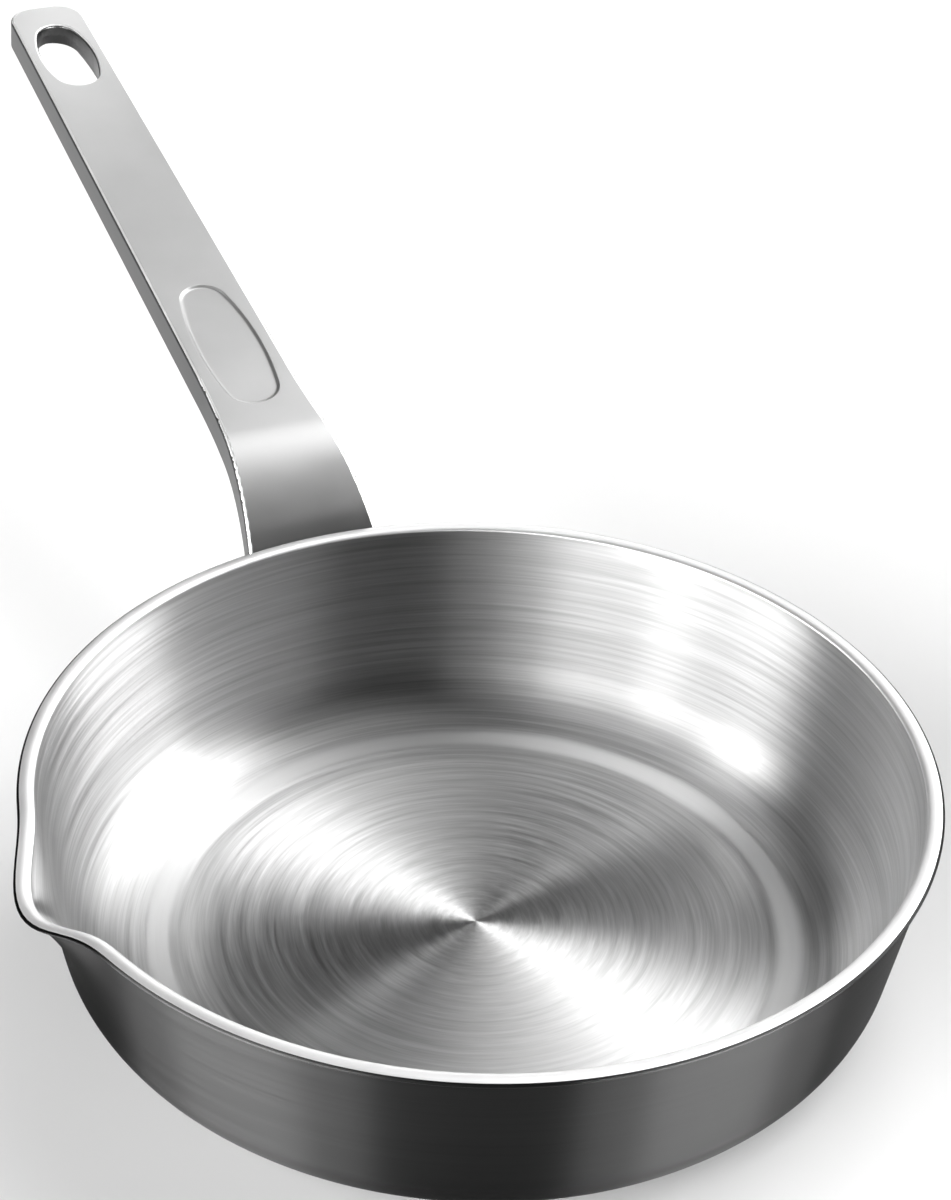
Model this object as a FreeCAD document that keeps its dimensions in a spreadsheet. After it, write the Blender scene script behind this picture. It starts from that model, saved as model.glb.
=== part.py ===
"""Omelette pan of clad steel with a pouring spout and a welded cast handle.

Frame: the origin is the middle of the base on the surface that the pan stands on, +Z is up and the
handle points along +Y. Sizes are in millimetres and degrees.
"""
import FreeCAD, Part
import math
import os
from types import SimpleNamespace

import Sketcher
from FreeCAD import Placement, Rotation, Vector

SIZES = {
    # Bowl
    "rim_radius": 100.0,
    "pan_height": 48.0,
    "wall_lean": 10.0,
    "corner_radius": 17.3,
    "shell_thickness": 0.5,
    "core_thickness": 1.5,
    "liner_thickness": 0.5,
    # Cooking floor, lifted by a thicker core
    "floor_lift": 1.0,
    "floor_slope": 8.0,
    "floor_margin": 8.0,
    # Rim bead, folded over the edges of the core and the shell
    "lip_thickness": 1.0,
    "lip_overhang": 1.2,
    # Pouring spout, its turn counted from the handle
    "spout_turn": 92.0,
    "spout_half_angle": 17.8,
    "spout_reach": 5.1,
    "spout_drop": 5.9,
    "spout_depth": 26.0,
    # Handle seen from the side
    "handle_reach": 220.0,
    "handle_depth": 9.0,
    "grip_lift": 10.5,
    "grip_rise": 11.3,
    "bend_radius": 44.0,
    "bend_under_radius": 36.0,
    "pad_depth": 7.0,
    "pad_margin": 1.2,
    # Handle seen from above
    "grip_width": 24.5,
    "tip_width": 21.5,
    "flare_start": 50.0,
    "flare_radius": 300.0,
    "tip_corner_radius": 7.0,
    "pad_corner_radius": 5.0,
    "edge_round": 1.0,
    # Seat of the handle on the wall
    "seat_allowance": 2.0,
    "weld_gap": 0.5,
    "lip_clearance": 0.6,
    # Egg shapes along the grip, each with its narrow end towards the tip
    "hole_inset": 16.4,
    "hole_narrow_radius": 5.8,
    "hole_broad_radius": 6.2,
    "hole_side_radius": 35.0,
    "hole_spacing": 18.7,
    "hole_round": 0.8,
    "recess_inset": 144.0,
    "recess_narrow_radius": 6.5,
    "recess_broad_radius": 7.5,
    "recess_side_radius": 100.0,
    "recess_spacing": 35.4,
    "recess_depth": 1.0,
    "recess_round": 0.8,
    # Hollows under the grip that keep it light, shallow round the hole and deep behind it
    "thinning_inset": 13.5,
    "thinning_narrow_radius": 7.5,
    "thinning_broad_radius": 8.5,
    "thinning_side_radius": 100.0,
    "thinning_spacing": 21.0,
    "thinning_web": 5.7,
    "relief_inset": 58.0,
    "relief_narrow_radius": 7.5,
    "relief_broad_radius": 8.5,
    "relief_side_radius": 2400.0,
    "relief_spacing": 118.0,
    "relief_web": 3.0,
    # Weld spots between the handle's pad and the shell
    "weld_radius": 3.0,
    "weld_inset": 5.5,
    "weld_row_pitch": 10.0,
    "weld_column_pitch": 10.0,
}

HANDLE_AZIMUTH = 90.0
RING_POINTS = 144
CORNER_STEPS = 8
WALL_STEPS = 8
FLOOR_STEPS = 6
LIP_STEPS = 6
WELD_ROWS = 2
WELD_COLUMNS = 3
BUMP_POWER = 4
TOUCHING = 0.0001
# Most of a wall's height that a fillet at its foot may take
ROUND_SHARE = 0.9


def make_sheet(doc):
    """Writes the driving sizes into a spreadsheet, one named cell each."""
    sheet = doc.addObject("Spreadsheet::Sheet", "Sizes")
    for row, (name, value) in enumerate(SIZES.items(), start=1):
        sheet.set(f"A{row}", name)
        sheet.set(f"B{row}", str(value))
        sheet.setAlias(f"B{row}", name)
    doc.recompute()
    return sheet


def read_sizes(sheet):
    """Reads the sheet back, for the shapes that are worked out point by point."""
    return SimpleNamespace(**{name: float(sheet.get(name)) for name in SIZES})


# Bowl: three nested layers that share their faces

def wall_top(size):
    """Height at which the shell and the core end under the rim bead."""
    return size.pan_height - size.lip_thickness


def wall_radius(size, inset, height):
    """Radius of the straight wall at a height, a distance inside the outer face."""
    lean = math.radians(size.wall_lean)
    outer = size.rim_radius - size.lip_overhang - (wall_top(size) - height) * math.tan(lean)
    return outer - inset / math.cos(lean)


def base_radius(size):
    """Radius of the flat base, where the rounded corner starts."""
    half_turn = math.radians(90.0 - size.wall_lean) / 2
    return wall_radius(size, 0.0, 0.0) - size.corner_radius * math.tan(half_turn)


def pad_bottom(size):
    """Height of the handle's pad, which starts just above the rounded corner."""
    return size.corner_radius * (1.0 - math.sin(math.radians(size.wall_lean))) + size.pad_margin


def spout_share(size, turn, height):
    """Share of the spout's full bulge at a turn from its middle and at a height."""
    across = turn / size.spout_half_angle
    if abs(across) >= 1.0:
        return 0.0
    root = wall_top(size) - size.spout_depth
    up = min(max((height - root) / size.spout_depth, 0.0), 1.0)
    return (1.0 - across * across) ** BUMP_POWER * up * up


def ring(size, radius, height):
    """One closed ring of the bowl, pushed out and down at the spout."""
    points = []
    for step in range(RING_POINTS):
        turn = 360.0 * step / RING_POINTS - 180.0
        share = spout_share(size, turn, height)
        azimuth = math.radians(HANDLE_AZIMUTH + size.spout_turn + turn)
        reach = radius + size.spout_reach * share
        drop = size.spout_drop * share
        points.append(Vector(reach * math.cos(azimuth), reach * math.sin(azimuth), height - drop))
    curve = Part.BSplineCurve()
    parameters = [step / RING_POINTS for step in range(RING_POINTS + 1)]
    curve.interpolate(Points=points, PeriodicFlag=True, Parameters=parameters)
    return Part.Wire([curve.toShape()])


def floor_profile(size, inset):
    """Slope from the lifted cooking floor down to the margin beside the corner."""
    foot = base_radius(size) - size.floor_margin
    points = []
    for step in range(FLOOR_STEPS + 1):
        along = step / FLOOR_STEPS
        lift = size.floor_lift * (1.0 + math.cos(math.pi * along)) / 2
        points.append((foot - size.floor_slope * (1.0 - along), inset + lift))
    return points


def side_profile(size, inset):
    """Rounded corner and straight wall, a distance inside the outer face."""
    lean = math.radians(size.wall_lean)
    radius = size.corner_radius - inset
    points = []
    for step in range(CORNER_STEPS + 1):
        angle = -math.pi / 2 + (math.pi / 2 - lean) * step / CORNER_STEPS
        across = base_radius(size) + radius * math.cos(angle)
        points.append((across, size.corner_radius + radius * math.sin(angle)))
    start = points[-1][1]
    for step in range(1, WALL_STEPS + 1):
        height = start + (wall_top(size) - start) * step / WALL_STEPS
        points.append((wall_radius(size, inset, height), height))
    return points


def skin(size, profile):
    """Smooth surface through the rings of a profile."""
    return Part.makeLoft([ring(size, radius, height) for radius, height in profile], False, False)


def band(size, first, last):
    """Straight strip between two rings."""
    return Part.makeRuledSurface(ring(size, *first).Edges[0], ring(size, *last).Edges[0])


def disc(size, profile):
    """Flat round face inside the first ring of a profile."""
    return Part.Face(ring(size, *profile[0]))


def flat_face(size, inset):
    """Surfaces of a bowl face with a flat floor."""
    side = side_profile(size, inset)
    return [disc(size, side), skin(size, side)]


def lifted_face(size, inset):
    """Surfaces of a bowl face with the lifted cooking floor."""
    floor = floor_profile(size, inset)
    side = side_profile(size, inset)
    return [disc(size, floor), skin(size, floor), band(size, floor[-1], side[0]), skin(size, side)]


def face_end(size, inset):
    """Ring at which a bowl face ends, level with the underside of the rim bead."""
    return wall_radius(size, inset, wall_top(size)), wall_top(size)


def closed_solid(surfaces):
    """Solid inside a set of surfaces that meet edge to edge."""
    shell = Part.Shell([face for surface in surfaces for face in surface.Faces])
    shell.sewShape()
    solid = Part.Solid(shell)
    if solid.Volume < 0:
        solid.reverse()
    return solid


def arc_profile(centre, radius, start, end):
    """Points of an arc in the profile plane, angles in degrees."""
    points = []
    for step in range(LIP_STEPS + 1):
        angle = math.radians(start + (end - start) * step / LIP_STEPS)
        points.append((centre[0] + radius * math.cos(angle), centre[1] + radius * math.sin(angle)))
    return points


def rim_bead(size, outer_inset, inner_inset):
    """Surfaces of the bead from the inside of the wall, over the rim and back under it."""
    thickness = size.lip_thickness
    level = wall_top(size)
    inner = face_end(size, inner_inset)
    shoulder = arc_profile((inner[0] + thickness, level), thickness, 180.0, 90.0)
    nose = arc_profile((size.rim_radius - thickness / 2, level + thickness / 2), thickness / 2, 90.0, -90.0)
    crown = band(size, shoulder[-1], nose[0])
    underside = band(size, nose[-1], face_end(size, outer_inset))
    return [skin(size, shoulder), crown, skin(size, nose), underside]


def make_bowl(doc, size):
    """Adds the outside skin, the aluminium core and the cooking skin."""
    bond_outer = size.shell_thickness
    bond_inner = bond_outer + size.core_thickness
    cooking_face = bond_inner + size.liner_thickness
    outside = flat_face(size, 0.0)
    shell_bond = flat_face(size, bond_outer)
    liner_bond = lifted_face(size, bond_inner)
    inside = lifted_face(size, cooking_face)
    shell_edge = band(size, face_end(size, 0.0), face_end(size, bond_outer))
    core_edge = band(size, face_end(size, bond_outer), face_end(size, bond_inner))
    bead = rim_bead(size, bond_inner, cooking_face)
    shapes = {
        "outer_shell": closed_solid(outside + shell_bond + [shell_edge]),
        "aluminium_core": closed_solid(shell_bond + liner_bond + [core_edge]),
        "inner_liner": closed_solid(liner_bond + inside + bead),
    }
    pieces = []
    for name, shape in shapes.items():
        piece = doc.addObject("Part::Feature", name)
        piece.Shape = shape
        piece.Placement = Placement()
        pieces.append(piece)
    return pieces


# Sketch helpers

def origin_plane(body, role):
    """One of the body's own origin planes."""
    return next(item for item in body.Origin.OriginFeatures if item.Role == role)


def new_sketch(body, name, role):
    """Sketch on one of the body's origin planes."""
    sketch = body.newObject("Sketcher::SketchObject", name)
    sketch.AttachmentSupport = [(origin_plane(body, role), "")]
    sketch.MapMode = "FlatFace"
    return sketch


def drive(sketch, name, kind, where, expression):
    """Adds a named dimension to a sketch and ties it to the sheet."""
    value = sketch.evalExpression(expression)
    number = float(getattr(value, "Value", value))
    if kind == "Angle":
        number = math.radians(number)
    index = sketch.addConstraint(Sketcher.Constraint(kind, *where, number))
    sketch.renameConstraint(index, name)
    sketch.setExpression(f"Constraints.{name}", expression)


def wall_expression(height):
    """Radius of the shell's outer wall at a height, as a sheet expression."""
    level = "(Sizes.pan_height - Sizes.lip_thickness)"
    slope = "tan(Sizes.wall_lean * 1 deg)"
    return f"(Sizes.rim_radius - Sizes.lip_overhang - ({level} - {height}) * {slope})"


PAD_EXPRESSION = "(Sizes.corner_radius * (1 - sin(Sizes.wall_lean * 1 deg)) + Sizes.pad_margin)"
UNDER_LIP_EXPRESSION = "(Sizes.pan_height - Sizes.lip_thickness - Sizes.lip_clearance)"
TIP_EXPRESSION = "(Sizes.rim_radius + Sizes.handle_reach)"
GRIP_EXPRESSION = "(Sizes.pan_height + Sizes.grip_lift)"
TIP_HEIGHT_EXPRESSION = f"({GRIP_EXPRESSION} + Sizes.handle_reach * tan(Sizes.grip_rise * 1 deg))"
GAP_EXPRESSION = "Sizes.weld_gap / cos(Sizes.wall_lean * 1 deg)"
COLUMN_EXPRESSION = f"asin(Sizes.weld_column_pitch / {wall_expression(PAD_EXPRESSION)})"
ORIGIN = (-1, 1)


def line(start, end):
    """Straight sketch edge between two points of the sketch plane."""
    return Part.LineSegment(Vector(*start, 0), Vector(*end, 0))


def crossing(first, first_way, second, second_way):
    """Point where two lines of the sketch plane cross."""
    across = second - first
    turn = first_way.x * second_way.y - first_way.y * second_way.x
    return first + first_way * ((across.x * second_way.y - across.y * second_way.x) / turn)


def arc(centre, radius, start, end):
    """Round sketch edge, anticlockwise between two angles in radians."""
    circle = Part.Circle(Vector(*centre, 0), Vector(0, 0, 1), radius)
    return Part.ArcOfCircle(circle, start, end)


# Handle

def side_sketch(body, size):
    """Side view of the handle: pad along the wall, bend and straight grip."""
    sketch = new_sketch(body, "handle_side", "YZ_Plane")
    lean = math.radians(size.wall_lean)
    rise = math.radians(size.grip_rise)
    up = Vector(math.sin(lean), math.cos(lean), 0)
    out = Vector(math.cos(rise), math.sin(rise), 0)
    up_right = Vector(up.y, -up.x, 0)
    out_right = Vector(out.y, -out.x, 0)
    low = pad_bottom(size)
    pad_foot = Vector(wall_radius(size, 0.0, low) - size.seat_allowance, low, 0)
    above_rim = Vector(size.rim_radius, size.pan_height + size.grip_lift, 0)
    half_turn = (math.pi / 2 - lean - rise) / 2
    knee = crossing(pad_foot, up, above_rim, out)
    pad_end = knee - up * size.bend_radius * math.tan(half_turn)
    grip_start = knee + out * size.bend_radius * math.tan(half_turn)
    centre = pad_end + up_right * size.bend_radius
    tip = above_rim + out * (size.handle_reach / math.cos(rise))
    tip_under = tip + out_right * size.handle_depth
    knee_under = crossing(pad_foot + up_right * size.pad_depth, up, tip_under, out)
    grip_under = knee_under + out * size.bend_under_radius * math.tan(half_turn)
    pad_outer = knee_under - up * size.bend_under_radius * math.tan(half_turn)
    centre_under = pad_outer + up_right * size.bend_under_radius
    pad_heel = pad_outer - up * ((pad_outer.y - low) / up.y)
    sweep = (math.pi / 2 + rise, math.pi - lean)
    edges = [
        Part.LineSegment(pad_foot, pad_end),
        arc((centre.x, centre.y), size.bend_radius, *sweep),
        Part.LineSegment(grip_start, tip),
        Part.LineSegment(tip, tip_under),
        Part.LineSegment(tip_under, grip_under),
        arc((centre_under.x, centre_under.y), size.bend_under_radius, *sweep),
        Part.LineSegment(pad_outer, pad_heel),
        Part.LineSegment(pad_heel, pad_foot),
    ]
    pad_in, bend_top, grip_top, end, grip_low, bend_low, pad_out, heel = sketch.addGeometry(edges, False)
    mark = sketch.addGeometry(Part.Point(above_rim), True)
    for first, second in (((pad_in, 2), (bend_top, 2)), ((grip_top, 1), (bend_top, 1)),
                          ((grip_low, 2), (bend_low, 1)), ((pad_out, 1), (bend_low, 2))):
        sketch.addConstraint(Sketcher.Constraint("Tangent", *first, *second))
    for first, second in (((grip_top, 2), (end, 1)), ((end, 2), (grip_low, 1)),
                          ((pad_out, 2), (heel, 1)), ((heel, 2), (pad_in, 1))):
        sketch.addConstraint(Sketcher.Constraint("Coincident", *first, *second))
    sketch.addConstraint(Sketcher.Constraint("Perpendicular", grip_top, end))
    sketch.addConstraint(Sketcher.Constraint("Parallel", grip_top, grip_low))
    sketch.addConstraint(Sketcher.Constraint("Parallel", pad_in, pad_out))
    sketch.addConstraint(Sketcher.Constraint("Horizontal", heel))
    sketch.addConstraint(Sketcher.Constraint("PointOnObject", mark, 1, grip_top))
    pad_start = f"{wall_expression(PAD_EXPRESSION)} - Sizes.seat_allowance"
    drive(sketch, "pad_start", "DistanceX", (*ORIGIN, pad_in, 1), pad_start)
    drive(sketch, "pad_level", "DistanceY", (*ORIGIN, pad_in, 1), PAD_EXPRESSION)
    drive(sketch, "pad_angle", "Angle", (pad_in,), "90 deg - Sizes.wall_lean * 1 deg")
    drive(sketch, "grip_angle", "Angle", (grip_top,), "Sizes.grip_rise * 1 deg")
    drive(sketch, "bend", "Radius", (bend_top,), "Sizes.bend_radius")
    drive(sketch, "bend_under", "Radius", (bend_low,), "Sizes.bend_under_radius")
    drive(sketch, "depth", "Distance", (end,), "Sizes.handle_depth")
    drive(sketch, "pad_depth", "Distance", (pad_out, 2, pad_in), "Sizes.pad_depth")
    drive(sketch, "mark_out", "DistanceX", (*ORIGIN, mark, 1), "Sizes.rim_radius")
    drive(sketch, "mark_up", "DistanceY", (*ORIGIN, mark, 1), GRIP_EXPRESSION)
    drive(sketch, "tip_out", "DistanceX", (*ORIGIN, grip_top, 2), TIP_EXPRESSION)
    return sketch


def plan_sketch(body, size):
    """What is cut away beside the handle, seen from above on its +X side."""
    sketch = new_sketch(body, "handle_plan", "XY_Plane")
    start = (size.grip_width / 2, size.rim_radius + size.flare_start)
    finish = (size.tip_width / 2, size.rim_radius + size.handle_reach + size.handle_depth)
    side = size.grip_width
    taper = math.atan2(start[0] - finish[0], finish[1] - start[1])
    centre = (start[0] + size.flare_radius * math.cos(taper), start[1] + size.flare_radius * math.sin(taper))
    reach = math.acos((centre[0] - side) / size.flare_radius)
    root_end = centre[1] - size.flare_radius * math.sin(reach)
    edges = [
        arc(centre, size.flare_radius, math.pi + taper, math.pi + reach),
        line(start, finish),
        line(finish, (side, finish[1])),
        line((side, finish[1]), (side, root_end)),
    ]
    flare, flank, cap, edge = sketch.addGeometry(edges, False)
    sketch.addConstraint(Sketcher.Constraint("Tangent", flank, 1, flare, 1))
    for first, second in (((flank, 2), (cap, 1)), ((cap, 2), (edge, 1)), ((edge, 2), (flare, 2))):
        sketch.addConstraint(Sketcher.Constraint("Coincident", *first, *second))
    sketch.addConstraint(Sketcher.Constraint("Horizontal", cap))
    sketch.addConstraint(Sketcher.Constraint("Vertical", edge))
    drive(sketch, "grip_half", "DistanceX", (*ORIGIN, flank, 1), "Sizes.grip_width / 2")
    drive(sketch, "grip_from", "DistanceY", (*ORIGIN, flank, 1), "Sizes.rim_radius + Sizes.flare_start")
    drive(sketch, "tip_half", "DistanceX", (*ORIGIN, flank, 2), "Sizes.tip_width / 2")
    drive(sketch, "tip_past", "DistanceY", (*ORIGIN, flank, 2), f"{TIP_EXPRESSION} + Sizes.handle_depth")
    drive(sketch, "flare", "Radius", (flare,), "Sizes.flare_radius")
    drive(sketch, "outside", "DistanceX", (*ORIGIN, edge, 1), "Sizes.grip_width")
    return sketch


def seat_sketch(body, size):
    """Half section of the bowl's outside with its clearances, turned about the pan's axis."""
    sketch = new_sketch(body, "handle_seat", "YZ_Plane")
    lean = math.radians(size.wall_lean)
    low = pad_bottom(size) / 2
    under_lip = wall_top(size) - size.lip_clearance
    high = size.pan_height * 2
    gap = size.weld_gap / math.cos(lean)
    wall_low = wall_radius(size, 0.0, low) + gap
    wall_high = wall_radius(size, 0.0, under_lip) + gap
    past_lip = size.rim_radius + size.lip_clearance
    corners = [(0, low), (wall_low, low), (wall_high, under_lip), (past_lip, under_lip), (past_lip, high),
               (0, high)]
    pairs = list(zip(corners, corners[1:] + corners[:1]))
    edges = sketch.addGeometry([line(start, end) for start, end in pairs], False)
    for first, second in zip(edges, edges[1:] + edges[:1]):
        sketch.addConstraint(Sketcher.Constraint("Coincident", first, 2, second, 1))
    bottom, wall, ledge, side, top, axis = edges
    for flat in (bottom, ledge, top):
        sketch.addConstraint(Sketcher.Constraint("Horizontal", flat))
    sketch.addConstraint(Sketcher.Constraint("Vertical", side))
    for end in (1, 2):
        sketch.addConstraint(Sketcher.Constraint("PointOnObject", axis, end, -2))
    below_pad = f"{PAD_EXPRESSION} / 2"
    low_wall = f"{wall_expression(below_pad)} + {GAP_EXPRESSION}"
    drive(sketch, "low", "DistanceY", (*ORIGIN, wall, 1), below_pad)
    drive(sketch, "low_wall", "DistanceX", (*ORIGIN, wall, 1), low_wall)
    drive(sketch, "wall_angle", "Angle", (wall,), "90 deg - Sizes.wall_lean * 1 deg")
    drive(sketch, "under_lip", "DistanceY", (*ORIGIN, wall, 2), UNDER_LIP_EXPRESSION)
    drive(sketch, "past_lip", "DistanceX", (*ORIGIN, side, 1), "Sizes.rim_radius + Sizes.lip_clearance")
    drive(sketch, "high", "DistanceY", (*ORIGIN, side, 2), "Sizes.pan_height * 2")
    return sketch


def egg_sketch(body, size, name, below):
    """Egg outline on a plane along the grip, a depth below its top face."""
    sketch = new_sketch(body, f"{name}_outline", "XY_Plane")
    sketch.AttachmentOffset = Placement(Vector(), Rotation(Vector(1, 0, 0), size.grip_rise))
    back = f"{TIP_EXPRESSION} + {below} * sin(Sizes.grip_rise * 1 deg)"
    height = f"{TIP_HEIGHT_EXPRESSION} - {below} * cos(Sizes.grip_rise * 1 deg)"
    sketch.setExpression("AttachmentOffset.Base.y", back)
    sketch.setExpression("AttachmentOffset.Base.z", height)
    sketch.setExpression("AttachmentOffset.Rotation.Angle", "Sizes.grip_rise * 1 deg")
    inset = getattr(size, f"{name}_inset")
    narrow = getattr(size, f"{name}_narrow_radius")
    broad = getattr(size, f"{name}_broad_radius")
    spacing = getattr(size, f"{name}_spacing")
    side = getattr(size, f"{name}_side_radius")
    along = (spacing ** 2 + (side - narrow) ** 2 - (side - broad) ** 2) / (2 * spacing)
    across = math.sqrt((side - narrow) ** 2 - along ** 2)
    high = math.atan2(along, across)
    low = math.atan2(along - spacing, across)
    edges = [
        arc((0, -inset), narrow, high, math.pi - high),
        arc((across, -inset - along), side, math.pi - high, math.pi - low),
        arc((0, -inset - spacing), broad, math.pi - low, 2 * math.pi + low),
        arc((-across, -inset - along), side, low, high),
    ]
    tip_end, left, root_end, right = sketch.addGeometry(edges, False)
    for first, second in ((tip_end, left), (left, root_end), (root_end, right), (right, tip_end)):
        sketch.addConstraint(Sketcher.Constraint("Tangent", first, 2, second, 1))
    sketch.addConstraint(Sketcher.Constraint("Equal", left, right))
    for end in (tip_end, root_end):
        sketch.addConstraint(Sketcher.Constraint("PointOnObject", end, 3, -2))
    drive(sketch, "inset", "DistanceY", (tip_end, 3, *ORIGIN), f"Sizes.{name}_inset")
    drive(sketch, "spacing", "DistanceY", (root_end, 3, tip_end, 3), f"Sizes.{name}_spacing")
    drive(sketch, "narrow", "Radius", (tip_end,), f"Sizes.{name}_narrow_radius")
    drive(sketch, "broad", "Radius", (root_end,), f"Sizes.{name}_broad_radius")
    drive(sketch, "side", "Radius", (left,), f"Sizes.{name}_side_radius")
    return sketch


def face_normal(face):
    """Outward direction at the middle of a face."""
    u_low, u_high, v_low, v_high = face.ParameterRange
    return face.normalAt((u_low + u_high) / 2, (v_low + v_high) / 2)


def shared_edges(shape, first_rule, second_rule):
    """Names of the edges where a face of one kind meets a face of another kind."""
    first = [face for face in shape.Faces if first_rule(face_normal(face))]
    second = [face for face in shape.Faces if second_rule(face_normal(face))]
    names = []
    for number, edge in enumerate(shape.Edges, start=1):
        in_first = any(edge.isSame(other) for face in first for other in face.Edges)
        in_second = any(edge.isSame(other) for face in second for other in face.Edges)
        if in_first and in_second:
            names.append(f"Edge{number}")
    return names


def flank_face(normal):
    """Faces down the two sides of the handle."""
    return abs(normal.x) > 0.9


def broad_face(normal):
    """Faces above and below the handle, without the one against the wall."""
    return abs(normal.x) < 0.1 and normal.y > -0.9


def end_face(normal):
    """The face at the handle's tip."""
    return normal.y > 0.9 and abs(normal.x) < 0.1 and normal.z > 0


def heel_face(normal):
    """The face at the bottom of the handle's pad."""
    return normal.z < -0.99


def round_edges(body, name, names, radius):
    """Rounds the named edges of the body's last feature by an expression of the sheet."""
    base = body.Tip
    fillet = body.newObject("PartDesign::Fillet", name)
    fillet.Base = (base, names)
    fillet.setExpression("Radius", radius)
    body.Tip = fillet
    body.Document.recompute()
    if "Invalid" in fillet.State:
        raise RuntimeError(f"{name} failed on {names}")
    return fillet


def rim_edges(shape, sketch, depth):
    """Edges of an egg cut that lie a depth below the plane of its sketch."""
    outline = sketch.Shape.copy()
    outline.translate(sketch.Placement.Rotation.multVec(Vector(0, 0, -depth)))
    names = []
    for number, edge in enumerate(shape.Edges, start=1):
        middle = edge.valueAt((edge.FirstParameter + edge.LastParameter) / 2)
        points = [middle] + [vertex.Point for vertex in edge.Vertexes]
        if all(outline.distToShape(Part.Vertex(point))[0] < TOUCHING for point in points):
            names.append(f"Edge{number}")
    return names


def cut(body, name, sketch, depth=None, upward=False):
    """Pockets a sketch through the body or to a depth, and makes sure that it removed metal."""
    before = body.Shape.Volume
    pocket = body.newObject("PartDesign::Pocket", name)
    pocket.Profile = sketch
    pocket.Reversed = upward
    if depth is None:
        pocket.Type = "ThroughAll"
    else:
        pocket.Type = "Length"
        pocket.setExpression("Length", depth)
    body.Tip = pocket
    body.Document.recompute()
    if body.Shape.Volume >= before:
        raise RuntimeError(f"{name} removed nothing")
    return pocket


def seat_sector(body, name, profile, turn, backward):
    """Turns the seat's section about the pan's axis, from the middle of the pad and as far as stated."""
    before = body.Shape.Volume
    sector = body.newObject("PartDesign::Groove", name)
    sector.Profile = profile
    sector.ReferenceAxis = (profile, ["V_Axis"])
    sector.setExpression("Angle", turn)
    sector.Reversed = backward
    body.Tip = sector
    body.Document.recompute()
    if body.Shape.Volume >= before:
        raise RuntimeError(f"{name} removed nothing")


def make_handle(doc, size):
    """Adds the cast handle: bent bar, tapered in plan, seated on the wall, with its hollows."""
    body = doc.addObject("PartDesign::Body", "handle")
    bar = body.newObject("PartDesign::Pad", "bent_bar")
    bar.Profile = side_sketch(body, size)
    bar.SideType = "Symmetric"
    bar.setExpression("Length", "Sizes.grip_width * 2")
    body.Tip = bar
    doc.recompute()
    side_cut = cut(body, "side_cut", plan_sketch(body, size), upward=True)
    mirrored = body.newObject("PartDesign::Mirrored", "other_side_cut")
    mirrored.Originals = [side_cut]
    mirrored.MirrorPlane = (origin_plane(body, "YZ_Plane"), [""])
    body.Tip = mirrored
    doc.recompute()
    tip_edges = shared_edges(body.Shape, end_face, flank_face)
    round_edges(body, "tip_corners", tip_edges, "Sizes.tip_corner_radius")
    heel_edges = shared_edges(body.Shape, heel_face, flank_face)
    round_edges(body, "pad_corners", heel_edges, "Sizes.pad_corner_radius")
    long_edges = shared_edges(body.Shape, flank_face, broad_face)
    round_edges(body, "long_edges", long_edges, "Sizes.edge_round")
    seat_profile = seat_sketch(body, size)
    doc.recompute()
    seat_sector(body, "seat_to_right_welds", seat_profile, COLUMN_EXPRESSION, False)
    seat_sector(body, "seat_to_left_welds", seat_profile, COLUMN_EXPRESSION, True)
    seat_sector(body, "seat_past_welds", seat_profile, "360 deg", False)
    hole_outline = egg_sketch(body, size, "hole", "0")
    cut(body, "hanging_hole", hole_outline)
    round_edges(body, "hole_rim", rim_edges(body.Shape, hole_outline, 0.0), "Sizes.hole_round")
    recess_outline = egg_sketch(body, size, "recess", "0")
    cut(body, "thumb_recess", recess_outline, "Sizes.recess_depth")
    floor_edges = rim_edges(body.Shape, recess_outline, size.recess_depth)
    inside_wall = f"min(Sizes.recess_round; Sizes.recess_depth * {ROUND_SHARE})"
    round_edges(body, "recess_floor", floor_edges, inside_wall)
    for name in ("thinning", "relief"):
        outline = egg_sketch(body, size, name, "Sizes.handle_depth")
        cut(body, f"grip_{name}", outline, f"Sizes.handle_depth - Sizes.{name}_web", upward=True)
    return body


# Weld spots

def seat_cone(doc, name, gap):
    """Cone of the shell's outer wall beside the pad, grown by a gap."""
    cone = doc.addObject("Part::Cone", name)
    cone.setExpression("Radius1", f"{wall_expression(PAD_EXPRESSION)} + {gap}")
    cone.setExpression("Radius2", f"{wall_expression(UNDER_LIP_EXPRESSION)} + {gap}")
    cone.setExpression("Height", f"{UNDER_LIP_EXPRESSION} - {PAD_EXPRESSION}")
    cone.setExpression("Placement.Base.z", PAD_EXPRESSION)
    return cone


def make_welds(doc):
    """Adds the weld spots, each a disc that fills the gap between the pad and the shell."""
    spots = []
    for row in range(WELD_ROWS):
        for column in range(WELD_COLUMNS):
            number = row * WELD_COLUMNS + column + 1
            film = doc.addObject("Part::Cut", f"weld_film_{number}")
            film.Base = seat_cone(doc, f"film_outer_{number}", GAP_EXPRESSION)
            film.Tool = seat_cone(doc, f"film_inner_{number}", "0")
            probe = doc.addObject("Part::Cylinder", f"weld_probe_{number}")
            probe.Placement = Placement(Vector(), Rotation(Vector(1, 0, 0), -90))
            probe.setExpression("Radius", "Sizes.weld_radius")
            probe.setExpression("Height", "Sizes.rim_radius")
            offset = column - (WELD_COLUMNS - 1) / 2
            probe.setExpression("Placement.Base.x", f"Sizes.weld_column_pitch * {offset}")
            probe.setExpression("Placement.Base.y", "Sizes.rim_radius / 2")
            height = f"{PAD_EXPRESSION} + Sizes.weld_inset + Sizes.weld_row_pitch * {row}"
            probe.setExpression("Placement.Base.z", height)
            spot = doc.addObject("Part::Common", f"weld_spot_{number}")
            spot.Base = film
            spot.Tool = probe
            spots.append(spot)
    return spots


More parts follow.
